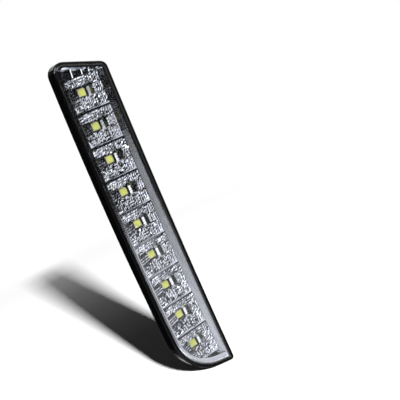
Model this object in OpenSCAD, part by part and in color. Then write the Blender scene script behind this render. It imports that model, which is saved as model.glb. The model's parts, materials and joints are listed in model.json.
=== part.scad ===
// Daytime running light: a slim bowed lamp with one row of white LEDs behind a clear lens.
// Each module is drawn with the lens facing up, x across the lamp and y along it, and the rear
// fixing plane at z = 0. upright() then stands the lamp on its lower end with the lens to -Y.

/* [Outline] */
// Width of the lamp's front at its ends
lamp_w = 35; // [32:0.5:40]
// How much the right side swells out between the ends
right_swell = 0.9; // [0:0.1:1.5]
// Radius that the whole lamp is bowed to
bow_r = 2580; // [1600:10:6000]
// Distance from the top LED to the top edge, on the middle line
end_top = 18; // [17:0.5:24]
// Distance from the bottom LED to the bottom edge, on the middle line
end_bottom = 19.3; // [18.5:0.1:26]
// Slant of the top edge in degrees
top_slant = 16.7; // [10:0.1:18]
// Slant of the bottom edge in degrees
bottom_slant = 13; // [6:0.5:16]
// Outline radius of the top left corner
top_left_r = 7; // [5:0.5:10]
// Outline radius of the top right corner
top_right_r = 5; // [4:0.5:8]
// Outline radius of the large bottom left sweep
bottom_left_r = 30; // [24:1:32]
// Outline radius of the bottom right corner
bottom_right_r = 2.2; // [1.6:0.1:4]

/* [LED row] */
// Number of LEDs and optic cells
led_count = 9; // [5:1:11]
// Distance between LEDs along the lamp
led_pitch = 22; // [21:0.5:26]
// How far the LED row is left of the middle line
led_offset = 1.75; // [1:0.05:2]
// Side of the square LED package
led_size = 5; // [4:0.1:5.6]
// Height of the LED package
led_h = 1.5; // [1.45:0.05:1.6]
// Side of the yellow phosphor window in the package
phosphor_size = 4; // [3:0.1:4.2]

/* [Housing] */
// Depth of the full-width skirt behind the rim
skirt_depth = 11; // [10.5:0.1:14]
// Depth of the narrower rear tub
tub_depth = 9; // [8:0.1:14]
// How far the rear tub is set in from the skirt
tub_inset = 5; // [4.6:0.1:5.4]
// Wall of the rear tub and of its floor
tub_wall = 1.6; // [1.4:0.1:2]
// Width of the black rim and wall round the reflector
rim_w = 3; // [2.6:0.1:3.2]
// Width of the rim outside the lens
rim_lip = 1.5; // [1.2:0.1:1.7]
// Rounding of the rim's outer edge
rim_round = 1.2; // [0.6:0.1:1.2]
// Depth of the ledge that the lens sits on, below the rim
lens_ledge = 1.8; // [1.6:0.1:2.4]

/* [Lens] */
// Height of the lens crown above the rim
lens_crown = 0.9; // [0.7:0.1:1.6]
// Rounding of the lens edge
lens_round = 0.9; // [0.5:0.1:0.9]
// Thickness of the sealing bead under the lens
seal_t = 0.3; // [0.2:0.05:0.6]
// Clearance round the lens in its recess
lens_gap = 0.1; // [0.05:0.05:0.3]

/* [Reflector] */
// Thickness of the reflector's base plate
plate_t = 0.8; // [0.6:0.1:0.9]
// Width of the opening round each LED
window_w = 6.7; // [6.4:0.1:7]
// Height of the opening round each LED
window_h = 6.4; // [6.2:0.1:6.6]
// Width of the dark groove between two cells
groove_w = 1; // [0.8:0.1:1.4]
// Height of the horizontal flutes on the facets
flute_h = 0.45; // [0.2:0.05:0.6]
// Number of flutes from the LED opening down to the foot of a cell
flute_count = 9; // [6:1:10]
// Corner radius of the opening round each LED
window_r = 0.6; // [0.3:0.1:1]
// Width of the smooth band along the right side, at the lamp's ends
band_right = 3.3; // [3:0.05:3.6]
// Width of the flat strip along the left side
band_left = 2.1; // [1.6:0.05:2.4]
// Width of the smooth band along the top
band_top = 1.4; // [1.2:0.1:1.6]
// Width of the smooth band along the bottom
band_bottom = 3.6; // [3:0.1:3.8]
// Thickness of the upright ribs above the top cell, at their root
end_rib_t = 1; // [0.8:0.1:1.4]
// Thickness of those ribs at their tip
end_rib_tip = 0.6; // [0.4:0.1:0.8]

/* [Circuit board] */
// Thickness of the circuit board
board_t = 1.6; // [1.4:0.1:1.6]
// Clearance between the board and the tub wall
board_gap = 0.4; // [0.3:0.1:0.6]
// Number of board screws
screw_count = 4; // [3:1:5]
// Distance of the board screws from the board's right edge
screw_edge = 3.75; // [3:0.05:4]
// Radius of a board screw's shank
screw_r = 1; // [0.8:0.05:1.1]

/* [Rear fixings] */
// Distance between the two threaded inserts
fixing_pitch = 144; // [120:1:150]
// Height of the bosses behind the tub
boss_h = 5; // [4.4:0.1:9]
// Outer radius of the bosses
boss_r = 5.5; // [5:0.1:6.5]
// Radius of the threaded hole
thread_r = 2.1; // [1.6:0.1:2.5]
// Wall of the brass insert
insert_wall = 1.1; // [0.9:0.1:1.4]
// Length of the brass insert
insert_len = 6; // [5:0.1:6]

/* [Cable and vent] */
// Distance of the cable outlet below the centre
cable_drop = 44; // [41:1:47]
// Radius of the cable bore in the grommet
cable_r = 2.6; // [2:0.1:3]
// Rubber round the cable in the floor hole
grommet_wall = 1.6; // [1.4:0.1:2]
// Height of the vent above the centre
vent_rise = 44; // [36:1:50]
// Radius of the vent bore
vent_r = 1.2; // [0.8:0.1:1.5]

/* [Hidden] */
numbers = [for (i = [1:led_count]) i];
resistors = [1, 2, 3];

// Heights above the rear fixing plane
tub_back = boss_h;
floor_z = tub_back + tub_wall;
skirt_z = tub_back + tub_depth;
rim_z = skirt_z + skirt_depth;
ledge_z = rim_z - lens_ledge;
lens_z = ledge_z + seal_t;
shelf_gap = 0.4;
plate_z = skirt_z + tub_wall + shelf_gap;
led_standing = 0.07;
board_top = plate_z - led_h + led_standing;
board_z = board_top - board_t;

// Outline
half_w = lamp_w / 2;
led_x = -led_offset;
row_half = led_pitch * (led_count - 1) / 2;
top_y = row_half + end_top;
bottom_y = -row_half - end_bottom;
tub_draft = 0.5;
shelf_round = 0.6;
tub_inner = tub_inset + tub_wall;
board_inset = tub_inner + tub_draft + board_gap;
reflector_gap = 0.1;
reflector_inset = rim_w + reflector_gap;
least_r = 0.5;
soft = 0.3;
rim_steps = 3;
lens_foot = 0.3;
side_steps = 9;
corner_steps = [4, 5, 6, 10];

// Heights of the optics below the rim, as shares of the depth over the reflector's plate
optic_depth = rim_z - plate_z;
flat_drop = lens_ledge - seal_t + 0.2;
band_drop = 0.5 * optic_depth;
rib_low = 0.62 * optic_depth;
rib_high = 0.3 * optic_depth;
lip_drop = 0.433 * optic_depth;
lip_round = 0.5;
line_drop = 0.6 * optic_depth;

// Bands round the reflector, [left, right, top, bottom]: flat edge, broken corner and foot
flat_edge = 0.6;
corner = 0.3;
corner_share = corner / (band_drop - flat_drop);
foot_inset = [rim_w + band_left, rim_w + band_right, rim_w + band_top, rim_w + band_bottom];
flat_inset = [foot_inset[0] - corner, reflector_inset + flat_edge, reflector_inset + flat_edge,
              foot_inset[3] - corner];
corner_inset = [foot_inset[0], mix(flat_inset[1], foot_inset[1], corner_share),
                mix(flat_inset[2], foot_inset[2], corner_share), foot_inset[3]];
overlap = 0.15;
cells_inset = [for (d = foot_inset) d - overlap];

// One optic cell, measured from its LED
groove_below = led_pitch / 2 + 1.37;
cell_top = led_pitch - groove_below - groove_w / 2;
cell_foot = -groove_below + groove_w / 2;
window_top = window_h / 2;
hood_gap = 0.8;
flute_top = window_top + hood_gap;
lip_w = 1.5;
lip_edge = 0.25;
lip_top = 0.45;
flute_foot = cell_foot + lip_w;
flute_pitch = (flute_top - flute_foot) / flute_count;
flute_steps = 3;
cell_left = -half_w - led_x + foot_inset[0] - overlap;
cell_right = half_w - led_x - foot_inset[1] + overlap;
line_w = 0.45;
line_slope = 0.1;
window_side = window_w / 2 - 0.05;
column_w = 1.6;
ledge_x = window_side + column_w;
wall_w = 1.65;
wall_end = 0.3;
wall_x = ledge_x + wall_w;
column_x = wall_x + column_w;
cell_columns = [cell_left, -window_side, window_side, ledge_x, wall_x, column_x,
                cell_right - line_w, cell_right - line_w + line_slope, cell_right];
// Share of the optic depth at each column edge: at the cell's top, beside the LED, and at its foot
top_drops = [0.35, 0.47, 0.47, 0.47, 0.47, 0.52, 0.5];
led_drops = [0.45, 0.822, 0.822, 0.8, 0.5, 0.52, 0.5];
foot_drops = [0.42, 0.56, 0.56, 0.58, 0.56, 0.52, 0.5];
// Share of the flute height on each column edge: above the LED, beside it and below it
hood_flutes = [0, 0, 0, 0, 0, 1, 1];
side_flutes = [1, 0.8, 0, 0, 0, 1, 1];
foot_flutes = [1, 0.8, 0.8, 0.7, 0.7, 1, 1];
flute_rows = floor((cell_top - flute_foot) / flute_pitch * flute_steps);
cell_rows = concat(
    [cell_foot, cell_foot + lip_edge, cell_foot + lip_top],
    [for (k = [0:flute_rows]) flute_foot + k * flute_pitch / flute_steps],
    [cell_top]);

// LED package
phosphor_h = 0.9;
phosphor_dip = 0.05;
phosphor_round = 0.9;
cut_corner = 0.8;

// Circuit board parts, [across, along, height]
resistor_size = [3.2, 6.3, 0.6];
resistor_left = 3.5;
diode_size = [2.6, 4.3, 2.1];
capacitor_size = [2.5, 3.2, 1.6];
terminal_w = 8;
terminal_l = 2.5;
terminal_gap = 0.67;
pin_w = 1;
pin_pitch = 4;
post_r = 2.4;
screw_hole_gap = 0.05;
board_hole_gap = 0.2;
screw_head_r = 1.9;
screw_head_h = 1.2;
screw_slot = [2.6, 0.5, 0.7];
screw_len = 5;
screw_x = half_w - board_inset - screw_edge;

// Fixings, cable and vent
insert_r = thread_r + insert_wall;
gusset_l = 3.5;
gusset_t = 1.6;
gusset_z = 0.8;
grommet_r = cable_r + grommet_wall;
grommet_flange = 1.8;
grommet_flange_t = 1.4;
grommet_lip = 1.2;
grommet_back = 0.8;
sleeve_wall = 1.3;
sleeve_taper = 0.6;
grommet_y = -cable_drop;
spigot_r = vent_r + 1.2;
spigot_h = 2.2;
cap_gap = 0.1;
cap_wall = 1.2;
cap_slot = 1;
sink = 0.4;
through = 1;

// Inset outline
function sides(d) = is_list(d) ? d : [d, d, d, d];
function inset_r(r, a, b) = max(r - (a + b) / 2, least_r);
function foot_w(d) = lamp_w - d[0] - d[1] - inset_r(bottom_right_r, d[1], d[3]) * (1 + sin(bottom_slant));
function sweep_r(d) = min(inset_r(bottom_left_r, d[0], d[3]), foot_w(d) / (1 - sin(bottom_slant)));
function arc(c, r, from, to, n) =
    [for (i = [0:n]) c + r * [cos(from + (to - from) * i / n), sin(from + (to - from) * i / n)]];
function swell(t) = 4 * t * (1 - t);
function between(a, b, n, swelling = 0) =
    [for (i = [1:n]) let (t = i / (n + 1)) a + (b - a) * t + [swelling * swell(t), 0]];
function under_top(x, d) = top_y - x * tan(top_slant) - d / cos(top_slant);
function over_bottom(x, d) = bottom_y - x * tan(bottom_slant) + d / cos(bottom_slant);
function top_corner(x, d, r) = [x, under_top(x, d + r)];
function bottom_corner(x, d, r) = [x, over_bottom(x, d + r)];

// Corner points of the straight outline, set in by d = [left, right, top, bottom]
function outline_corners(d) = let (
    r = [inset_r(bottom_right_r, d[1], d[3]), inset_r(top_right_r, d[1], d[2]),
         inset_r(top_left_r, d[0], d[2]), sweep_r(d)],
    left = -half_w + d[0],
    right = half_w - d[1])
    [arc(bottom_corner(right - r[0], d[3], r[0]), r[0], 270 - bottom_slant, 360, corner_steps[0]),
     arc(top_corner(right - r[1], d[2], r[1]), r[1], 0, 90 - top_slant, corner_steps[1]),
     arc(top_corner(left + r[2], d[2], r[2]), r[2], 90 - top_slant, 180, corner_steps[2]),
     arc(bottom_corner(left + r[3], d[3], r[3]), r[3], 180, 270 - bottom_slant, corner_steps[3])];
function straight_outline(d, swelling) = let (c = outline_corners(sides(d)))
    concat(c[0], between(c[0][corner_steps[0]], c[1][0], side_steps, swelling), c[1],
           c[2], between(c[2][corner_steps[2]], c[3][0], side_steps), c[3]);

// The bow: points along the lamp go round an arc whose centre is on the right
function bow_angle(y) = y / bow_r * 180 / PI;
function bowed(p) = [bow_r - (bow_r - p[0]) * cos(bow_angle(p[1])),
                     (bow_r - p[0]) * sin(bow_angle(p[1]))];
function outline(d, swelling = right_swell) = [for (p = straight_outline(d, swelling)) bowed(p)];
function ring(d, z, swelling = right_swell) = [for (p = outline(d, swelling)) [p[0], p[1], z]];

// LED places, the first at the top, and the places halfway below an LED
function led_y(i) = row_half - (i - 1) * led_pitch;
function below_led(i) = led_y(i) - led_pitch / 2;
function share(y, from, to) = (y - from) / (to - from);
function mix(a, b, t) = a + (b - a) * min(max(t, 0), 1);
function screw_y(k) = below_led(round(1 + k * (led_count - 2) / (screw_count - 1)));
function resistor_y(k) = below_led(round(k * led_count / len(resistors)) - 1);

module upright() rotate([90, 0, 0]) children();
module along(y) translate(bowed([0, y])) rotate([0, 0, -bow_angle(y)]) children();
module at_led(i) along(led_y(i)) translate([led_x, 0, 0]) children();
module slab(d, z, h) translate([0, 0, z]) linear_extrude(h) polygon(outline(d));

// Strips across a ring from its right chain of points to its left one, as its cap
function chain(k, steps, count) = round(k * (count - 1) / steps);
function strip(a, b, c, d) = a == b ? [d, a, c] : c == d ? [d, a, b] : [d, a, b, c];
function cap(n, first, up) = let (
    right = corner_steps[0] + corner_steps[1] + side_steps + 2,
    left = n - right,
    steps = max(right, left) - 1)
    [for (k = [0:steps - 1]) let (
        face = strip(first + chain(k, steps, right), first + chain(k + 1, steps, right),
                     first + n - 1 - chain(k + 1, steps, left), first + n - 1 - chain(k, steps, left)))
        up ? [for (i = [len(face) - 1:-1:0]) face[i]] : face];

// A skin over rings of equal point count, capped at both ends, or closed on itself
module loft(rings, closed = false) {
    n = len(rings[0]);
    m = len(rings);
    bands = closed ? m : m - 1;
    skin = [for (k = [0:bands - 1]) for (i = [0:n - 1])
        let (j = (i + 1) % n, a = k * n, b = ((k + 1) % m) * n)
        each [[a + i, b + i, b + j], [a + i, b + j, a + j]]];
    caps = closed ? [] : concat(cap(n, 0, false), cap(n, (m - 1) * n, true));
    polyhedron([for (r = rings) each r], concat(skin, caps), convexity = 8);
}

// A solid under a grid of heights z[row][column], flat at the bottom
module relief(xs, ys, zs, bottom) {
    nx = len(xs);
    ny = len(ys);
    top = [for (j = [0:ny - 1]) for (i = [0:nx - 1]) [xs[i], ys[j], zs[j][i]]];
    base = [for (j = [0:ny - 1]) for (i = [0:nx - 1]) [xs[i], ys[j], bottom]];
    edge = concat([for (i = [0:nx - 2]) i], [for (j = [0:ny - 2]) j * nx + nx - 1],
                  [for (i = [nx - 1:-1:1]) (ny - 1) * nx + i], [for (j = [ny - 1:-1:1]) j * nx]);
    n = len(edge);
    skin = [for (j = [0:ny - 2]) for (i = [0:nx - 2]) let (a = j * nx + i)
        each [[a, a + nx, a + nx + 1], [a, a + nx + 1, a + 1]]];
    walls = [for (k = [0:n - 1]) let (a = edge[k], b = edge[(k + 1) % n])
        [a, b, b + nx * ny, a + nx * ny]];
    polyhedron(concat(top, base), concat(skin, walls, [[for (k = edge) k + nx * ny]]),
               convexity = 8);
}

module housing_shell() {
    loft([ring(tub_inset + tub_draft + shelf_round, tub_back),
          ring(tub_inset + tub_draft, tub_back + shelf_round),
          ring(tub_inset, skirt_z),
          ring(shelf_round, skirt_z),
          ring(0, skirt_z + shelf_round),
          for (a = [0:rim_steps]) ring(rim_round * (1 - cos(90 * a / rim_steps)),
                                       rim_z - rim_round * (1 - sin(90 * a / rim_steps))),
          ring(rim_lip, rim_z - 0.1),
          ring(rim_lip, ledge_z),
          ring(rim_w, ledge_z),
          ring(rim_w, plate_z),
          ring(tub_inner, plate_z),
          ring(tub_inner + tub_draft, floor_z)]);
}

module at_fixings() for (s = [-1, 1]) translate([0, s * fixing_pitch / 2, 0]) children();
module at_screws() for (i = [0:screw_count - 1]) along(screw_y(i)) translate([screw_x, 0, 0]) children();
module at_grommet() along(grommet_y) children();
module at_vent() along(vent_rise) children();

module boss() {
    reach = boss_r + gusset_l;
    cylinder(r = boss_r, h = floor_z - sink, $fn = 48);
    for (a = [0, 90]) rotate([0, 0, a])
        translate([0, gusset_t / 2, 0]) rotate([90, 0, 0]) linear_extrude(gusset_t)
            polygon([[-reach, tub_back + sink], [-boss_r + sink, gusset_z], [boss_r - sink, gusset_z],
                     [reach, tub_back + sink]]);
}

module housing() color([0.03, 0.03, 0.035]) upright() difference() {
    union() {
        housing_shell();
        at_fixings() boss();
        at_screws() translate([0, 0, floor_z - sink])
            cylinder(r = post_r, h = board_z - floor_z + sink, $fn = 32);
        at_vent() translate([0, 0, tub_back - spigot_h])
            cylinder(r = spigot_r, h = spigot_h + sink, $fn = 32);
    }
    at_fixings() translate([0, 0, -through]) cylinder(r = insert_r, h = insert_len + through, $fn = 48);
    at_screws() translate([0, 0, board_top - screw_len - sink])
        cylinder(r = screw_r + screw_hole_gap, h = screw_len, $fn = 24);
    at_grommet() translate([0, 0, tub_back - through])
        cylinder(r = grommet_r, h = tub_wall + 2 * through, $fn = 48);
    at_vent() translate([0, 0, tub_back - spigot_h - through])
        cylinder(r = vent_r, h = spigot_h + tub_wall + 2 * through, $fn = 24);
}

module lens() color([0.85, 0.9, 0.95, 0.4]) upright() {
    edge = rim_lip + lens_gap;
    shoulder = rim_z + 0.6 * lens_crown;
    loft([ring(rim_w + 2 * lens_foot, lens_z + lens_foot),
          ring(rim_w + lens_foot, lens_z),
          ring(edge, lens_z),
          ring(edge, shoulder - lens_round),
          ring(edge + soft * lens_round, shoulder - soft * lens_round),
          ring(edge + lens_round, shoulder),
          ring(edge + 3 * lens_round, rim_z + 0.9 * lens_crown),
          ring(edge + 7 * lens_round, rim_z + lens_crown)]);
}

module lens_seal() color([0.1, 0.1, 0.1]) upright() {
    difference() {
        slab(rim_lip + lens_gap, ledge_z, seal_t);
        slab(rim_w - 0.1, ledge_z - 1, seal_t + 2);
    }
}

// Height of the facets at column edge c and height y in a cell. The ledge and the steep wall
// right of the LED stop short above and below it; the other facets run on to the cell's edges
function short(c) = c > 2 && c < 5;
function facet_drop(c, y) = optic_depth * (
    y >= flute_top ? mix(led_drops[c], top_drops[c],
                         share(y, flute_top, short(c) ? flute_top + wall_end : cell_top)) :
    mix(led_drops[c], foot_drops[c], share(y, -window_top, short(c) ? -window_top - wall_end : flute_foot)));
function flute_share(c, y) = y < flute_foot ? 0 : y < -window_top ? foot_flutes[c] :
    y < flute_top + flute_pitch / flute_steps / 2 ? side_flutes[c] : hood_flutes[c];
function flute(c, y) = flute_h * flute_share(c, y) * abs(sin(180 * (y - flute_foot) / flute_pitch));
function lip(y) = lip_drop + (y < cell_foot + lip_edge ? lip_round : 0);
function cell_height(c, y) = rim_z - (c >= len(top_drops) ? line_drop :
    y > cell_foot + lip_top ? facet_drop(c, y) - flute(c, y) : lip(y));

module optic_cell() {
    heights = [for (y = cell_rows) [for (c = [0:len(cell_columns) - 1]) cell_height(c, y)]];
    relief(cell_columns, cell_rows, heights, plate_z + sink / 2);
}

module led_window() hull()
    for (x = [-1, 1]) for (y = [-1, 1])
        translate([x * (window_w / 2 - window_r), y * (window_h / 2 - window_r), plate_z - through])
            cylinder(r = window_r, h = optic_depth, $fn = 12);

// Upright ribs in the open end above the top cell, rising towards the end
module end_ribs() {
    rib_y = led_y(1) + cell_top - sink;
    rib_l = top_y - rib_y;
    for (x = [-window_side, window_side, column_x])
        translate(bowed([led_x + x, rib_y])) hull() {
            translate([-end_rib_t / 2, 0, plate_z + sink / 2]) cube([end_rib_t, rib_l, 1]);
            for (p = [[0, rib_low], [rib_l, rib_high]])
                translate([-end_rib_tip / 2, p[0], rim_z - p[1] - 1]) cube([end_rib_tip, sink, 1]);
        }
}

module reflector_band() {
    loft([ring(reflector_inset, plate_z),
          ring(reflector_inset, rim_z - flat_drop),
          ring(flat_inset, rim_z - flat_drop),
          ring(corner_inset, rim_z - flat_drop - corner),
          ring(foot_inset, rim_z - band_drop, 0),
          ring(foot_inset, plate_z, 0)], closed = true);
}

module reflector() color([0.82, 0.83, 0.86]) upright() difference() {
    union() {
        slab(reflector_inset + 0.5, plate_z, plate_t);
        reflector_band();
        for (i = [2:led_count - 1]) at_led(i) optic_cell();
        intersection() {
            slab(cells_inset, plate_z, optic_depth);
            union() {
                at_led(1) optic_cell();
                at_led(led_count) optic_cell();
                end_ribs();
            }
        }
    }
    for (i = numbers) at_led(i) led_window();
}

module circuit_board() color([0.04, 0.09, 0.06]) upright() difference() {
    slab(board_inset, board_z, board_t);
    at_screws() translate([0, 0, board_z - through])
        cylinder(r = screw_r + board_hole_gap, h = board_t + 2 * through, $fn = 24);
}

module rounded_square(side, r) {
    translate([-side / 2 + r, -side / 2]) square([side - 2 * r, side]);
    translate([-side / 2, -side / 2 + r]) square([side, side - 2 * r]);
    for (x = [-1, 1]) for (y = [-1, 1])
        translate([x * (side / 2 - r), y * (side / 2 - r)]) circle(r = r, $fn = 24);
}

module led_package(i) color([0.9, 0.9, 0.82]) upright() at_led(i) translate([0, 0, board_top]) {
    s = led_size / 2;
    difference() {
        linear_extrude(led_h)
            polygon([[-s, -s], [s, -s], [s, s - cut_corner], [s - cut_corner, s], [-s, s]]);
        translate([0, 0, led_h - phosphor_h]) linear_extrude(phosphor_h + through)
            rounded_square(phosphor_size, phosphor_round);
    }
}

module phosphor(i) color([0.85, 0.86, 0.3]) upright() at_led(i)
    translate([0, 0, board_top + led_h - phosphor_h]) linear_extrude(phosphor_h - phosphor_dip)
        rounded_square(phosphor_size, phosphor_round);

module resistor(i) color([0.1, 0.1, 0.1]) upright() along(resistor_y(i))
    translate([led_x - resistor_left - resistor_size[0] / 2, -resistor_size[1] / 2, board_top])
        cube(resistor_size);

// Parts on the rear face of the board
module under_board(x, y, size) along(y)
    translate([x - size[0] / 2, -size[1] / 2, board_z - size[2]]) cube(size);
module polarity_diode() color([0.12, 0.12, 0.13]) upright()
    under_board(-diode_size[0], vent_rise - led_pitch, diode_size);
module smoothing_capacitor() color([0.6, 0.45, 0.3]) upright()
    under_board(capacitor_size[0], vent_rise - led_pitch, capacitor_size);
module wire_terminal() color([0.88, 0.88, 0.84]) upright() along(grommet_y + grommet_r + 0.8) {
    terminal_h = board_z - floor_z - grommet_lip - terminal_gap;
    difference() {
        translate([-terminal_w / 2, 0, board_z - terminal_h]) cube([terminal_w, terminal_l, terminal_h]);
        for (x = [-pin_pitch, pin_pitch] / 2)
            translate([x - pin_w / 2, -through, board_z - terminal_h / 2])
                cube([pin_w, terminal_l, pin_w]);
    }
}

module board_screws() color([0.6, 0.6, 0.62]) upright() at_screws() {
    translate([0, 0, board_top - screw_len]) cylinder(r = screw_r, h = screw_len, $fn = 24);
    difference() {
        translate([0, 0, board_top]) cylinder(r = screw_head_r, h = screw_head_h, $fn = 32);
        for (a = [0, 90]) rotate([0, 0, a])
            translate([-screw_slot[0] / 2, -screw_slot[1] / 2, board_top + screw_head_h - screw_slot[2]])
                cube([screw_slot[0], screw_slot[1], screw_head_h]);
    }
}

module cable_grommet() color([0.07, 0.07, 0.07]) upright() at_grommet() {
    flange_r = grommet_r + grommet_flange;
    flange_z = tub_back - grommet_flange_t;
    rotate_extrude($fn = 64) polygon([
        [cable_r, grommet_back], [cable_r + sleeve_wall, grommet_back],
        [cable_r + sleeve_wall + sleeve_taper, flange_z],
        [flange_r - sink, flange_z], [flange_r, flange_z + sink], [flange_r, tub_back],
        [grommet_r, tub_back], [grommet_r, floor_z], [grommet_r + grommet_lip, floor_z],
        [grommet_r + grommet_lip - sink, floor_z + grommet_lip], [cable_r, floor_z + grommet_lip]]);
}

module breather_cap() color([0.07, 0.07, 0.07]) upright() at_vent() {
    cap_z = tub_back - spigot_h;
    cap_r = spigot_r + cap_gap + cap_wall;
    difference() {
        translate([0, 0, cap_z - cap_wall])
            cylinder(r = cap_r, h = cap_wall + spigot_h - sink, $fn = 48);
        translate([0, 0, cap_z]) cylinder(r = spigot_r + cap_gap, h = spigot_h, $fn = 48);
        for (a = [0:90:270]) rotate([0, 0, a])
            translate([spigot_r - sink, -cap_slot / 2, tub_back - sink - cap_slot])
                cube([cap_r, cap_slot, spigot_h]);
    }
}

module mounting_inserts() color([0.78, 0.62, 0.3]) upright() at_fixings() difference() {
    cylinder(r = insert_r, h = insert_len, $fn = 48);
    translate([0, 0, -through]) cylinder(r = thread_r, h = insert_len + 2 * through, $fn = 48);
}

housing();
lens();
lens_seal();
reflector();
circuit_board();
for (i = numbers) led_package(i);
for (i = numbers) phosphor(i);
for (i = resistors) resistor(i);
polarity_diode();
smoothing_capacitor();
wire_terminal();
board_screws();
cable_grommet();
breather_cap();
mounting_inserts();
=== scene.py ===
import json
import math
import random
import bmesh
import bpy
from mathutils import Matrix, Vector


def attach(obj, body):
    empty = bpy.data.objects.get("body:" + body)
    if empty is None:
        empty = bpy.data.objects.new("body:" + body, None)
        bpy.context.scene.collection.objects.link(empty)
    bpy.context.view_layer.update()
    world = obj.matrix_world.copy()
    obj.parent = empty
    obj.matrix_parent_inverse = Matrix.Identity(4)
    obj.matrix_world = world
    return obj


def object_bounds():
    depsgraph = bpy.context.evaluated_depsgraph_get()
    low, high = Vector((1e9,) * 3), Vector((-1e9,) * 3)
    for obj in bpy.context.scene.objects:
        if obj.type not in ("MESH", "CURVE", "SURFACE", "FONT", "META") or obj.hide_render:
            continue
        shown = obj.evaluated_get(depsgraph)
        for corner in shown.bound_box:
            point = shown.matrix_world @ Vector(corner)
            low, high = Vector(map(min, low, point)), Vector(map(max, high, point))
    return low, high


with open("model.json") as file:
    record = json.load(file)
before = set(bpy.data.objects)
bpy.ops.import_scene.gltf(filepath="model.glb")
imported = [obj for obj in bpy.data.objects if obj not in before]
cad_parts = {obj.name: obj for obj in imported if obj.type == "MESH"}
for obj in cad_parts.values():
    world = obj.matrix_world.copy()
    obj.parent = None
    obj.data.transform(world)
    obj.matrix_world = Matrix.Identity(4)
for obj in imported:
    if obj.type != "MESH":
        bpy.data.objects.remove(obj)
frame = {"nodes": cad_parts, "record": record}
nodes = frame["nodes"]
cad_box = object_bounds()

MM = 0.001
WHITE = (1.0, 1.0, 1.0, 1.0)

# The photograph's viewpoint, from the lamp's outline and its LED row
VIEW_AZIMUTH = math.radians(-26.275)
VIEW_ELEVATION = math.radians(11.876)
VIEW_ROLL = math.radians(-22.938)
VIEW_DISTANCE = 496.757 * MM
VIEW_ACROSS = 41.093 * MM
VIEW_UP = -4.403 * MM
VIEW_LENS = 69.218

# The lamp's front rim plane is this far in front of the rear fixings
RIM_Y = -25 * MM


def make_camera():
    data = bpy.data.cameras.new("camera")
    data.lens = VIEW_LENS
    data.sensor_width = 36.0
    data.clip_start = 0.01
    data.clip_end = 50.0
    camera = bpy.data.objects.new("camera", data)
    bpy.context.scene.collection.objects.link(camera)
    back = Vector((math.sin(VIEW_AZIMUTH) * math.cos(VIEW_ELEVATION),
                   -math.cos(VIEW_AZIMUTH) * math.cos(VIEW_ELEVATION),
                   math.sin(VIEW_ELEVATION)))
    level_right = (-back).cross(Vector((0, 0, 1))).normalized()
    level_up = level_right.cross(-back)
    right = level_right * math.cos(VIEW_ROLL) + level_up * math.sin(VIEW_ROLL)
    up = -level_right * math.sin(VIEW_ROLL) + level_up * math.cos(VIEW_ROLL)
    place = back * VIEW_DISTANCE + Vector((VIEW_ACROSS, RIM_Y, VIEW_UP))
    turn = Matrix((right, up, back)).transposed()
    camera.matrix_world = Matrix.Translation(place) @ turn.to_4x4()
    bpy.context.scene.camera = camera


# Shader node groups that several finishes share

def new_group(name, inputs, outputs):
    group = bpy.data.node_groups.new(name, "ShaderNodeTree")
    for label, kind, value in inputs:
        socket = group.interface.new_socket(name=label, in_out="INPUT", socket_type=kind)
        socket.default_value = value
    for label, kind in outputs:
        group.interface.new_socket(name=label, in_out="OUTPUT", socket_type=kind)
    start = group.nodes.new("NodeGroupInput")
    end = group.nodes.new("NodeGroupOutput")
    return group, start, end


def noise_on_object(tree, scale_from, detail):
    where = tree.nodes.new("ShaderNodeTexCoord")
    noise = tree.nodes.new("ShaderNodeTexNoise")
    noise.inputs["Detail"].default_value = detail
    tree.links.new(where.outputs["Object"], noise.inputs["Vector"])
    tree.links.new(scale_from, noise.inputs["Scale"])
    return noise


def uneven_gloss_group():
    """Roughness that drifts between two values over the surface."""
    group, start, end = new_group(
        "uneven gloss",
        [("Scale", "NodeSocketFloat", 60.0), ("Lowest", "NodeSocketFloat", 0.2),
         ("Highest", "NodeSocketFloat", 0.3)],
        [("Roughness", "NodeSocketFloat")])
    noise = noise_on_object(group, start.outputs["Scale"], 4.0)
    spread = group.nodes.new("ShaderNodeMapRange")
    spread.inputs["From Min"].default_value = 0.3
    spread.inputs["From Max"].default_value = 0.7
    group.links.new(noise.outputs["Fac"], spread.inputs["Value"])
    group.links.new(start.outputs["Lowest"], spread.inputs["To Min"])
    group.links.new(start.outputs["Highest"], spread.inputs["To Max"])
    group.links.new(spread.outputs["Result"], end.inputs["Roughness"])
    return group


def surface_ripple_group():
    """The slight waviness of a moulded or plated skin."""
    group, start, end = new_group(
        "surface ripple",
        [("Scale", "NodeSocketFloat", 400.0), ("Height", "NodeSocketFloat", 0.00001)],
        [("Normal", "NodeSocketVector")])
    noise = noise_on_object(group, start.outputs["Scale"], 2.0)
    bump = group.nodes.new("ShaderNodeBump")
    bump.inputs["Strength"].default_value = 1.0
    group.links.new(noise.outputs["Fac"], bump.inputs["Height"])
    group.links.new(start.outputs["Height"], bump.inputs["Distance"])
    group.links.new(bump.outputs["Normal"], end.inputs["Normal"])
    return group


def mottle_group():
    """A colour that shifts a little towards another in soft patches."""
    group, start, end = new_group(
        "mottle",
        [("Scale", "NodeSocketFloat", 120.0), ("Colour", "NodeSocketColor", WHITE),
         ("Patch colour", "NodeSocketColor", WHITE)],
        [("Colour", "NodeSocketColor")])
    noise = noise_on_object(group, start.outputs["Scale"], 3.0)
    mix = group.nodes.new("ShaderNodeMix")
    mix.data_type = "RGBA"
    group.links.new(noise.outputs["Fac"], mix.inputs["Factor"])
    group.links.new(start.outputs["Colour"], mix.inputs["A"])
    group.links.new(start.outputs["Patch colour"], mix.inputs["B"])
    group.links.new(mix.outputs["Result"], end.inputs["Colour"])
    return group


UNEVEN_GLOSS = uneven_gloss_group()
SURFACE_RIPPLE = surface_ripple_group()
MOTTLE = mottle_group()


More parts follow.
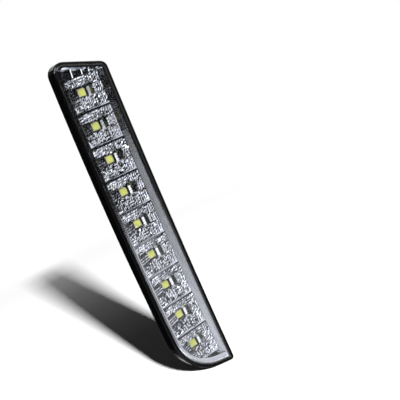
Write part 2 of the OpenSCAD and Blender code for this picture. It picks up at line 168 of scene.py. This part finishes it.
def place_group(material, group, **values):
    node = material.node_tree.nodes.new("ShaderNodeGroup")
    node.node_tree = group
    for label, value in values.items():
        node.inputs[label.replace("_", " ")].default_value = value
    return node


def new_finish(name):
    material = bpy.data.materials.new(name)
    material.use_nodes = True
    shader = material.node_tree.nodes["Principled BSDF"]
    return material, shader


def join(material, source, label, shader, socket):
    material.node_tree.links.new(source.outputs[label], shader.inputs[socket])


def colour_of(material, shader, scale, colour, patch):
    mottle = place_group(material, MOTTLE, Scale=scale, Colour=colour, Patch_colour=patch)
    join(material, mottle, "Colour", shader, "Base Color")


def gloss_of(material, shader, scale, lowest, highest):
    gloss = place_group(material, UNEVEN_GLOSS, Scale=scale, Lowest=lowest, Highest=highest)
    join(material, gloss, "Roughness", shader, "Roughness")


def ripple_of(material, shader, scale, height):
    ripple = place_group(material, SURFACE_RIPPLE, Scale=scale, Height=height)
    join(material, ripple, "Normal", shader, "Normal")


def polished_black():
    material, shader = new_finish("polished black plastic")
    colour_of(material, shader, 90.0, (0.003, 0.003, 0.0035, 1), (0.005, 0.005, 0.0055, 1))
    gloss_of(material, shader, 140.0, 0.16, 0.26)
    ripple_of(material, shader, 260.0, 0.00003)
    shader.inputs["Specular IOR Level"].default_value = 0.18
    return material


def clear_lens():
    """Clear plastic that casts no shadow, so that light reaches the reflector."""
    material, shader = new_finish("clear lens")
    shader.inputs["Base Color"].default_value = (0.985, 0.99, 1.0, 1)
    shader.inputs["Transmission Weight"].default_value = 1.0
    shader.inputs["IOR"].default_value = 1.49
    gloss_of(material, shader, 200.0, 0.0, 0.02)
    ripple_of(material, shader, 120.0, 0.000004)
    tree = material.node_tree
    clear = tree.nodes.new("ShaderNodeBsdfTransparent")
    path = tree.nodes.new("ShaderNodeLightPath")
    mix = tree.nodes.new("ShaderNodeMixShader")
    tree.links.new(path.outputs["Is Shadow Ray"], mix.inputs[0])
    tree.links.new(shader.outputs["BSDF"], mix.inputs[1])
    tree.links.new(clear.outputs["BSDF"], mix.inputs[2])
    tree.links.new(mix.outputs["Shader"], tree.nodes["Material Output"].inputs["Surface"])
    return material


def bright_metallising():
    material, shader = new_finish("bright metallising")
    shader.inputs["Metallic"].default_value = 1.0
    colour_of(material, shader, 300.0, (0.86, 0.87, 0.9, 1), (0.78, 0.79, 0.83, 1))
    gloss_of(material, shader, 700.0, 0.03, 0.1)
    ripple_of(material, shader, 900.0, 0.00004)
    return material


# Plain finishes by material slot: name, colour, colour of its patches, lowest and highest
# roughness, and the scale and height of its ripple
PLAIN_FINISHES = {
    # The phosphor's yellow is its own colour, darkened well below it to paint the shade it sits in
    # under the hood of its cell
    "phosphor": ("phosphor", (0.42, 0.45, 0.035, 1), (0.44, 0.46, 0.16, 1),
                 (0.35, 0.5), (3000.0, 0.00001)),
    "black_silicone": ("black sealing bead", (0.01, 0.01, 0.01, 1), (0.016, 0.016, 0.016, 1),
                       (0.4, 0.6), (900.0, 0.00004)),
    "board": ("black board", (0.006, 0.008, 0.008, 1), (0.014, 0.016, 0.016, 1),
              (0.3, 0.45), (2500.0, 0.00003)),
    # The LED package's cream moulding is darkened to greyish olive: painted shade from the
    # reflector round it
    "led_body": ("LED package", (0.34, 0.34, 0.22, 1), (0.26, 0.26, 0.15, 1),
                 (0.3, 0.45), (3000.0, 0.00001)),
    "chip_black": ("chip", (0.02, 0.02, 0.022, 1), (0.035, 0.035, 0.036, 1),
                   (0.4, 0.6), (4000.0, 0.00003)),
    "ceramic_chip": ("fired ceramic", (0.3, 0.18, 0.1, 1), (0.24, 0.14, 0.08, 1),
                     (0.35, 0.5), (4000.0, 0.00002)),
    "white_plastic": ("terminal block", (0.78, 0.78, 0.74, 1), (0.7, 0.7, 0.66, 1),
                      (0.4, 0.55), (2000.0, 0.00003)),
    "black_rubber": ("soft rubber", (0.012, 0.012, 0.012, 1), (0.022, 0.022, 0.022, 1),
                     (0.5, 0.7), (1800.0, 0.00008)),
    "zinc_steel": ("zinc plated steel", (0.62, 0.62, 0.64, 1), (0.5, 0.5, 0.53, 1),
                   (0.2, 0.4), (1500.0, 0.00001)),
    "brass": ("turned brass", (0.78, 0.6, 0.28, 1), (0.66, 0.49, 0.2, 1),
              (0.2, 0.35), (1500.0, 0.00001)),
}
METALS = ("zinc_steel", "brass")


def plain_finish(name, colour, patch, roughness, ripple):
    material, shader = new_finish(name)
    colour_of(material, shader, 500.0, colour, patch)
    gloss_of(material, shader, 800.0, *roughness)
    ripple_of(material, shader, *ripple)
    return material, shader


def make_finishes():
    finishes = {"black_plastic": polished_black(), "clear_plastic": clear_lens(),
                "bright_metallising": bright_metallising()}
    for slot, values in PLAIN_FINISHES.items():
        finishes[slot], shader = plain_finish(*values)
        if slot in METALS:
            shader.inputs["Metallic"].default_value = 1.0
        if slot == "phosphor":
            # Clear silicone covers it
            shader.inputs["Coat Weight"].default_value = 0.3
            shader.inputs["Coat Roughness"].default_value = 0.1
    return finishes


FINISHES = make_finishes()


def dress_nodes():
    slots = {s["node"]: s["material_slot"] for s in frame["record"]["subparts"]}
    for name, thing in nodes.items():
        thing.data.materials.clear()
        thing.data.materials.append(FINISHES[slots[name]])


# The pillow optics: small pillows that cover each cell of the reflector. All of their sizes are
# in millimetres. A place in a cell is x to the right of its LED and y above it.

# The reflector's cells as the part's source gives them
BOW_RADIUS = 2580.0
RIM_HEIGHT = 25.0
LED_COUNT = 9
LED_PITCH = 22.0
LED_LEFT = 1.75
OPTIC_DEPTH = 9.0
CELL_TOP = 9.13
WINDOW_SIDE = 3.35
WINDOW_TOP = 3.2
FLUTE_TOP = 4.0
FLUTE_FOOT = -10.37
FLUTES = 9
FLUTE_PITCH = (FLUTE_TOP - FLUTE_FOOT) / FLUTES
FLUTE_HEIGHT = 0.45
# Column edges of a cell: left slope, LED window, ledge, steep wall in two columns, right column
COLUMN_EDGES = [-10.8, -3.3, 3.3, 4.9, 6.55, 8.15, 12.55]
LEDGE_END = COLUMN_EDGES[3]
RIGHT_COLUMN = COLUMN_EDGES[5]
WALL_EDGES = (3, 4)
# How far above or below the LED window the steep wall reaches
WALL_END = 0.3
# Share of the optic depth at each column edge, above, beside and below the LED
TOP_DROPS = [0.35, 0.47, 0.47, 0.47, 0.47, 0.52, 0.5]
LED_DROPS = [0.45, 0.822, 0.822, 0.8, 0.5, 0.52, 0.5]
FOOT_DROPS = [0.42, 0.56, 0.56, 0.58, 0.56, 0.52, 0.5]
# Share of the flute height at each column edge, above, beside and below the LED
HOOD_FLUTES = [0, 0, 0, 0, 0, 1, 1]
SIDE_FLUTES = [1, 0.8, 0, 0, 0, 1, 1]
FOOT_FLUTES = [1, 0.8, 0.8, 0.7, 0.7, 1, 1]
# Rows this far past the flutes' top or the window's foot still count as beside the LED
SIDE_MARGIN = 0.2

# Thickness of the cover that carries the pillows: over the plain cell, and under it
COVER = 0.05
COVER_DEPTH = 0.35
# Pillows across each column, with the narrow foot of the steep wall as a column of its own,
# and rows of pillows above the flutes. Below, each flute has its row.
PILLOWS_ACROSS = [5, 4, 1, 1, 1, 1, 3]
WALL_FOOT = 0.06
HOOD_ROWS = 3
# Gaps at the cell's left edge and round the LED window
LEFT_GAP = 0.1
WINDOW_GAP = 0.02
# A row nearer than this to the window's edge gives way to one on the edge
ROW_APART = 0.25
# Height of the pillows: in most places, on the left slope beside the LED, on the slope above
# and below it, in the right column and on the ledge
PILLOW_HEIGHT = 0.26
LEFT_PILLOW = 0.13
LEFT_FOOT_PILLOW = 0.2
RIGHT_PILLOW = 0.32
LEDGE_PILLOW = 0.24
# Height of the teeth on the steep wall, which is smooth in two cells
WALL_TOOTH = 0.65
SMOOTH_WALLS = (3, 4)
# The height of a pillow varies by these shares of it
LOWEST, HIGHEST = 0.5, 1.5
# How much the corners of the pillows differ in height, on the left slope and elsewhere
UNEVEN_LEFT = 0.03
UNEVEN = 0.13
# How far the middles of the pillows sit above half way: right column, ledge and steep wall
RIGHT_SHIFT = 0.6
LEDGE_SHIFT = 0.7
WALL_SHIFT = -0.75
PILLOW_SEED = 5

# Where the pillows end in the first cell: the slanted top and its left corner, from the lamp's
# middle line and the cell's LED
TOP_RISE = 12.1
TOP_SLANT = 0.3
CORNER_X = -9.5
CORNER_Y = 12.0
# Where they end in the last cell: the large sweep at the bottom left
SWEEP_X = 10.2
SWEEP_Y = 9.2
SWEEP_RADIUS = 21.6


def part_way(value, start, end):
    return min(max((value - start) / (end - start), 0.0), 1.0)


def between(start, end, share):
    return start + (end - start) * share


def edge_drop(column, y):
    """Drop of a column edge below the rim plane at a height in its cell."""
    steep = column in WALL_EDGES
    if y >= FLUTE_TOP:
        share = part_way(y, FLUTE_TOP, FLUTE_TOP + WALL_END if steep else CELL_TOP)
        return OPTIC_DEPTH * between(LED_DROPS[column], TOP_DROPS[column], share)
    share = part_way(y, -WINDOW_TOP, -WINDOW_TOP - WALL_END if steep else FLUTE_FOOT)
    return OPTIC_DEPTH * between(LED_DROPS[column], FOOT_DROPS[column], share)


def edge_flute(column, y):
    """Height of the reflector's flutes, which the cover fills up to their crests."""
    if y < FLUTE_FOOT:
        return 0.0
    if y < -WINDOW_TOP:
        return FLUTE_HEIGHT * FOOT_FLUTES[column]
    return FLUTE_HEIGHT * (SIDE_FLUTES if y < FLUTE_TOP + SIDE_MARGIN else HOOD_FLUTES)[column]


def cell_drop(x, y):
    """Drop of the plain cell below the rim plane, without its flutes, and the flutes' height."""
    column = 0
    while column < len(COLUMN_EDGES) - 2 and x > COLUMN_EDGES[column + 1]:
        column += 1
    share = part_way(x, COLUMN_EDGES[column], COLUMN_EDGES[column + 1])
    drop = between(edge_drop(column, y), edge_drop(column + 1, y), share)
    return drop, between(edge_flute(column, y), edge_flute(column + 1, y), share)


def pillow_lines(edges, counts):
    """Pillow edges and middles along one direction, each with a flag for the middles."""
    lines = []
    for low, high, count in zip(edges, edges[1:], counts):
        for k in range(count):
            lines.append((between(low, high, k / count), False))
            lines.append((between(low, high, (k + 0.5) / count), True))
    return lines + [(edges[-1], False)]


def pillow_columns():
    edges = [COLUMN_EDGES[0] + LEFT_GAP, -WINDOW_SIDE, WINDOW_SIDE, LEDGE_END,
             LEDGE_END + WALL_FOOT] + COLUMN_EDGES[4:]
    return pillow_lines(edges, PILLOWS_ACROSS)


def pillow_rows():
    window = [-WINDOW_TOP - WINDOW_GAP, WINDOW_TOP + WINDOW_GAP]
    rows = [(FLUTE_FOOT + k * FLUTE_PITCH / 2, k % 2 == 1) for k in range(2 * FLUTES + 1)]
    rows += [(between(FLUTE_TOP, CELL_TOP, (k + 1) / (2 * HOOD_ROWS)), k % 2 == 0)
             for k in range(2 * HOOD_ROWS)]
    apart = [(y, middle) for y, middle in rows if min(abs(y - edge) for edge in window) > ROW_APART]
    return sorted(apart + [(edge, False) for edge in window])


def beside_led(y):
    return -WINDOW_TOP - SIDE_MARGIN < y < FLUTE_TOP + SIDE_MARGIN


def on_ledge(x, y):
    """The narrow flat strip between the LED's window and the steep wall."""
    return beside_led(y) and WINDOW_SIDE <= x <= LEDGE_END


def on_wall(x, y):
    """The steep wall that rises from the ledge, and its top as far as the right column."""
    return beside_led(y) and LEDGE_END < x < RIGHT_COLUMN


def middle_shift(x, y):
    """How far up a row's middle moves, in half rows."""
    if on_ledge(x, y):
        return LEDGE_SHIFT
    if on_wall(x, y):
        return WALL_SHIFT
    return RIGHT_SHIFT if x >= RIGHT_COLUMN and FLUTE_FOOT < y < FLUTE_TOP else 0.0


def pillow_rise(cell, x, y, row_middle, column_middle, chance):
    """Height of a pillow's corner or middle over the cell."""
    if on_ledge(x, y):
        return LEDGE_PILLOW if row_middle else 0.0
    if on_wall(x, y):
        return WALL_TOOTH if row_middle and cell not in SMOOTH_WALLS else 0.0
    left = x < -WINDOW_SIDE
    uneven, height = UNEVEN, RIGHT_PILLOW if x > RIGHT_COLUMN else PILLOW_HEIGHT
    if left:
        uneven, height = (UNEVEN_LEFT, LEFT_PILLOW) if beside_led(y) else (UNEVEN, LEFT_FOOT_PILLOW)
    middle = 0.0
    if row_middle and (column_middle or left):
        middle = height * chance.uniform(LOWEST, HIGHEST)
    return middle + chance.uniform(0.0, 2 * uneven)


def inside_cells(cell, x, y):
    """Whether a place in the first or last cell lies within the slanted, rounded ends."""
    across = x - LED_LEFT
    if cell == 1:
        in_corner = across < CORNER_X and y > CORNER_Y + across - CORNER_X
        return y < TOP_RISE - TOP_SLANT * across and not in_corner
    if cell == LED_COUNT:
        return math.hypot(min(across - SWEEP_X, 0.0), min(y - SWEEP_Y, 0.0)) < SWEEP_RADIUS
    return True


def cell_points(cell, across, rows, chance):
    """One cell's pillows, and the underside of the cover that carries them."""
    middle_y = (LED_COUNT - 1) / 2 * LED_PITCH - (cell - 1) * LED_PITCH
    turn = middle_y / BOW_RADIUS
    centre = (BOW_RADIUS - BOW_RADIUS * math.cos(turn), BOW_RADIUS * math.sin(turn))
    tops, undersides = [], []
    for y, row_middle in rows:
        for x, column_middle in across:
            drop, flute = cell_drop(x, y)
            rise = COVER + flute + pillow_rise(cell, x, y, row_middle, column_middle, chance)
            local_x = x - LED_LEFT
            local_y = y + (middle_shift(x, y) * FLUTE_PITCH / 2 if row_middle else 0.0)
            place_x = centre[0] + local_x * math.cos(turn) + local_y * math.sin(turn)
            place_y = centre[1] - local_x * math.sin(turn) + local_y * math.cos(turn)
            height = RIM_HEIGHT - drop + rise
            tops.append((place_x * MM, -height * MM, place_y * MM))
            undersides.append((place_x * MM, -(height - rise - COVER_DEPTH) * MM, place_y * MM))
    return tops + undersides


def cell_faces(cell, across, rows, start):
    """The faces that close one cell's cover, whose points begin at the start."""
    wide = len(across)
    below = len(rows) * wide

    def inside(row, column):
        if not (0 <= row < len(rows) - 1 and 0 <= column < wide - 1):
            return False
        x = (across[column][0] + across[column + 1][0]) / 2
        y = (rows[row][0] + rows[row + 1][0]) / 2
        if abs(x) < WINDOW_SIDE and abs(y) < WINDOW_TOP:
            return False
        return inside_cells(cell, x, y)

    faces = []
    for row in range(len(rows) - 1):
        for column in range(wide - 1):
            if not inside(row, column):
                continue
            a = start + row * wide + column
            b, c, d = a + 1, a + wide + 1, a + wide
            faces.append((a, b, c, d))
            faces.append((d + below, c + below, b + below, a + below))
            for there, first, second in (((row - 1, column), a, b), ((row, column + 1), b, c),
                                         ((row + 1, column), c, d), ((row, column - 1), d, a)):
                if not inside(*there):
                    faces.append((second, first, first + below, second + below))
    return faces


def make_pillow_optics():
    chance = random.Random(PILLOW_SEED)
    across, rows = pillow_columns(), pillow_rows()
    points, faces = [], []
    for cell in range(1, LED_COUNT + 1):
        faces += cell_faces(cell, across, rows, len(points))
        points += cell_points(cell, across, rows, chance)
    mesh = bpy.data.meshes.new("pillow_optics")
    mesh.from_pydata(points, [], faces)
    used = bmesh.new()
    used.from_mesh(mesh)
    bmesh.ops.delete(used, geom=[v for v in used.verts if not v.link_faces], context="VERTS")
    bmesh.ops.recalc_face_normals(used, faces=used.faces)
    used.to_mesh(mesh)
    used.free()
    piece = bpy.data.objects.new("pillow_optics", mesh)
    piece.data.materials.append(FINISHES["bright_metallising"])
    bpy.context.scene.collection.objects.link(piece)
    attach(piece, "root")


# The studio

FLOOR_REACH = 6.0
FLOOR_COLOUR = (0.8, 0.8, 0.8, 1)
# The floor as only the camera sees it, so bright that all but the shadow is white
FLOOR_GAIN = 7.0
# How much plain white takes the place of the floor, by the distance from the lamp's foot. Near the
# foot the steps pale the softbox's shadow bit by bit with distance: painted light on the shadow
LAMP_FOOT = (0.0, -0.012)
PAINTED_SHADOW_AND_BACKDROP_STOPS = [(0.0, 0.0), (0.12, 0.005), (0.18, 0.02), (0.25, 0.05), (0.33, 0.1), (0.43, 0.2),
              (0.48, 0.5), (0.53, 1.0)]
FADE_REACH = PAINTED_SHADOW_AND_BACKDROP_STOPS[-1][0]

SOFTBOX_PLACE = (-0.22, -2.2, 0.92)
SOFTBOX_SIDE = 0.15
SOFTBOX_POWER = 30.0
# The little light that comes from all round
FILL_LIGHT = 0.002

# What the bright parts mirror. A side is a bearing, in degrees left of straight in front, and
# how far a direction leans towards it where the region starts and where it is fully there. A
# rise gives the same two in the direction's height, from -1 straight down to 1 straight up.
ROOM_COLOUR = (0.95, 0.96, 1.0, 1)
ROOM_DARK = 0.008
LEFT_TABLE_SIDE = (85.0, 0.76, 0.86)
LEFT_TABLE_RISE = (-0.062, -0.085)
LEFT_TABLE_FAR = 0.27
LEFT_TABLE_NEAR = 1.3
LEFT_TABLE_DEPTH = (0.0, -0.75)
RIGHT_TABLE_SIDE = (-28.0, 0.8, 0.9)
RIGHT_TABLE_RISE = (-0.17, -0.25)
RIGHT_TABLE_LIGHT = 0.66
# The pale ground in front: its far and near edges, the dark towards the left and the part
# towards the right that is only dim
GROUND_FAR = (-0.36, -0.46)
GROUND_NEAR = (-0.94, -0.5)
GROUND_FRONT = (0.2, -0.1)
GROUND_DARK_SIDE = (42.0, 0.86, 0.7)
GROUND_DIM_SIDE = (-85.0, 0.9, 0.75)
GROUND_DIM = 0.35
GROUND_LIGHT = 2.0
ABOVE_LOW = (0.45, 0.6)
ABOVE_HIGH = (0.96, 0.9)
ABOVE_FRONT = (0.1, -0.1)
ABOVE_LIGHT = 1.0
BEHIND_SIDE = (-135.0, 0.62, 0.72)
BEHIND_LIGHT = 1.2
# A small bright lamp under the ceiling: its direction, its edge and its light
CEILING_DIRECTION = (0.65, 0.14, 0.75)
CEILING_EDGE = (0.95, 0.98)
CEILING_LIGHT = 3.5


def smooth_step(tree, value, start, end):
    step = tree.nodes.new("ShaderNodeMapRange")
    step.interpolation_type = "SMOOTHSTEP"
    step.inputs["From Min"].default_value = start
    step.inputs["From Max"].default_value = end
    tree.links.new(value, step.inputs["Value"])
    return step.outputs["Result"]


def combine(tree, operation, first, *others):
    """Sockets and numbers put together one after another by a math operation."""
    for other in others:
        node = tree.nodes.new("ShaderNodeMath")
        node.operation = operation
        for socket, value in zip(node.inputs, (first, other)):
            if isinstance(value, float):
                socket.default_value = value
            else:
                tree.links.new(value, socket)
        first = node.outputs["Value"]
    return first


def floor_material():
    """Pale floor: white to the camera where the light falls, fading to plain white far off, with
    the shadow paled by a painted ramp away from the lamp's foot.
    """
    material = bpy.data.materials.new("studio floor")
    material.use_nodes = True
    tree = material.node_tree
    tree.nodes.remove(tree.nodes["Principled BSDF"])
    link = tree.links.new
    pale = tree.nodes.new("ShaderNodeBsdfDiffuse")
    pale.inputs["Color"].default_value = FLOOR_COLOUR
    seen = tree.nodes.new("ShaderNodeBsdfDiffuse")
    seen.inputs["Color"].default_value = (FLOOR_GAIN, FLOOR_GAIN, FLOOR_GAIN, 1)
    backdrop = tree.nodes.new("ShaderNodeEmission")
    backdrop.inputs["Color"].default_value = WHITE
    place = tree.nodes.new("ShaderNodeTexCoord")
    away = tree.nodes.new("ShaderNodeVectorMath")
    away.operation = "DISTANCE"
    away.inputs[1].default_value = (*LAMP_FOOT, cad_box[0].z)
    share = tree.nodes.new("ShaderNodeMath")
    share.operation = "DIVIDE"
    share.inputs[1].default_value = FADE_REACH
    # Ramp of plain white by distance from the foot, which also paints the shadow paler further out
    painted_shadow_fade = tree.nodes.new("ShaderNodeValToRGB")
    stops = painted_shadow_fade.color_ramp.elements
    while len(stops) < len(PAINTED_SHADOW_AND_BACKDROP_STOPS):
        stops.new(0.5)
    for stop, (distance, white) in zip(stops, PAINTED_SHADOW_AND_BACKDROP_STOPS):
        stop.position = distance / FADE_REACH
        stop.color = (white, white, white, 1)
    far = tree.nodes.new("ShaderNodeMixShader")
    camera_only = tree.nodes.new("ShaderNodeMixShader")
    path = tree.nodes.new("ShaderNodeLightPath")
    link(place.outputs["Object"], away.inputs[0])
    link(away.outputs["Value"], share.inputs[0])
    link(share.outputs["Value"], painted_shadow_fade.inputs["Fac"])
    link(painted_shadow_fade.outputs["Color"], far.inputs[0])
    link(seen.outputs["BSDF"], far.inputs[1])
    link(backdrop.outputs["Emission"], far.inputs[2])
    link(path.outputs["Is Camera Ray"], camera_only.inputs[0])
    link(pale.outputs["BSDF"], camera_only.inputs[1])
    link(far.outputs["Shader"], camera_only.inputs[2])
    link(camera_only.outputs["Shader"], tree.nodes["Material Output"].inputs["Surface"])
    return material


def make_floor():
    low = cad_box[0].z
    corners = [(x * FLOOR_REACH, y * FLOOR_REACH, low)
               for x, y in ((-1, -1), (1, -1), (1, 1), (-1, 1))]
    mesh = bpy.data.meshes.new("floor")
    mesh.from_pydata(corners, [], [(0, 1, 2, 3)])
    floor = bpy.data.objects.new("floor", mesh)
    floor.data.materials.append(floor_material())
    floor.visible_glossy = False
    floor.visible_transmission = False
    bpy.context.scene.collection.objects.link(floor)


def mirrored_room(tree):
    """White tables to the left and right, pale ground in front, lights above, under the ceiling
    and behind, and the dark between them."""
    where = tree.nodes.new("ShaderNodeTexCoord")
    split = tree.nodes.new("ShaderNodeSeparateXYZ")
    tree.links.new(where.outputs["Generated"], split.inputs["Vector"])
    across, along, height = (split.outputs[axis] for axis in "XYZ")

    def leaning(*direction):
        parts = [combine(tree, "MULTIPLY", axis, share)
                 for axis, share in zip((across, along, height), direction)]
        return combine(tree, "ADD", *parts)

    def towards(bearing, start, end):
        angle = math.radians(bearing)
        return smooth_step(tree, leaning(-math.sin(angle), -math.cos(angle)), start, end)

    def rising(start, end):
        return smooth_step(tree, height, start, end)

    nearer = combine(tree, "MULTIPLY", rising(*LEFT_TABLE_DEPTH), LEFT_TABLE_NEAR - LEFT_TABLE_FAR)
    left_table = combine(tree, "MULTIPLY", towards(*LEFT_TABLE_SIDE), rising(*LEFT_TABLE_RISE),
                         combine(tree, "ADD", nearer, LEFT_TABLE_FAR))
    right_table = combine(tree, "MULTIPLY", towards(*RIGHT_TABLE_SIDE), rising(*RIGHT_TABLE_RISE),
                          RIGHT_TABLE_LIGHT)
    ground = combine(tree, "MULTIPLY", rising(*GROUND_FAR), rising(*GROUND_NEAR),
                     smooth_step(tree, along, *GROUND_FRONT), towards(*GROUND_DARK_SIDE),
                     combine(tree, "MAXIMUM", towards(*GROUND_DIM_SIDE), GROUND_DIM), GROUND_LIGHT)
    above = combine(tree, "MULTIPLY", rising(*ABOVE_LOW), rising(*ABOVE_HIGH),
                    smooth_step(tree, along, *ABOVE_FRONT), ABOVE_LIGHT)
    behind = combine(tree, "MULTIPLY", towards(*BEHIND_SIDE), BEHIND_LIGHT)
    ceiling = combine(tree, "MULTIPLY",
                      smooth_step(tree, leaning(*CEILING_DIRECTION), *CEILING_EDGE), CEILING_LIGHT)
    lit = combine(tree, "MAXIMUM", left_table, right_table, ground, above, behind, ceiling)
    return combine(tree, "ADD", lit, ROOM_DARK)


def make_world():
    """White behind the lamp, the mirrored room for mirrored rays, and a little fill light."""
    world = bpy.data.worlds.new("studio")
    bpy.context.scene.world = world
    world.use_nodes = True
    tree = world.node_tree
    tree.nodes.clear()
    room = tree.nodes.new("ShaderNodeBackground")
    room.inputs["Color"].default_value = ROOM_COLOUR
    plain = tree.nodes.new("ShaderNodeBackground")
    plain.inputs["Color"].default_value = WHITE
    fill = tree.nodes.new("ShaderNodeBackground")
    fill.inputs["Color"].default_value = WHITE
    fill.inputs["Strength"].default_value = FILL_LIGHT
    path = tree.nodes.new("ShaderNodeLightPath")
    bounced = combine(tree, "MAXIMUM", path.outputs["Is Glossy Ray"],
                      path.outputs["Is Transmission Ray"])
    straight = combine(tree, "LESS_THAN", path.outputs["Diffuse Depth"], 0.5)
    bounced = combine(tree, "MULTIPLY", bounced, straight)
    seen = tree.nodes.new("ShaderNodeMixShader")
    mirrored = tree.nodes.new("ShaderNodeMixShader")
    end = tree.nodes.new("ShaderNodeOutputWorld")
    link = tree.links.new
    link(mirrored_room(tree), room.inputs["Strength"])
    link(bounced, mirrored.inputs[0])
    link(fill.outputs["Background"], mirrored.inputs[1])
    link(room.outputs["Background"], mirrored.inputs[2])
    link(path.outputs["Is Camera Ray"], seen.inputs[0])
    link(mirrored.outputs["Shader"], seen.inputs[1])
    link(plain.outputs["Background"], seen.inputs[2])
    link(seen.outputs["Shader"], end.inputs["Surface"])


def make_softbox():
    data = bpy.data.lights.new("key softbox", "AREA")
    data.shape = "RECTANGLE"
    data.size = data.size_y = SOFTBOX_SIDE
    data.energy = SOFTBOX_POWER
    softbox = bpy.data.objects.new("key softbox", data)
    softbox.location = SOFTBOX_PLACE
    softbox.rotation_mode = "QUATERNION"
    softbox.rotation_quaternion = (-Vector(SOFTBOX_PLACE)).to_track_quat("-Z", "Y")
    bpy.context.scene.collection.objects.link(softbox)


make_camera()
dress_nodes()
make_pillow_optics()
make_floor()
make_world()
make_softbox()
bpy.context.scene.view_settings.view_transform = "Standard"
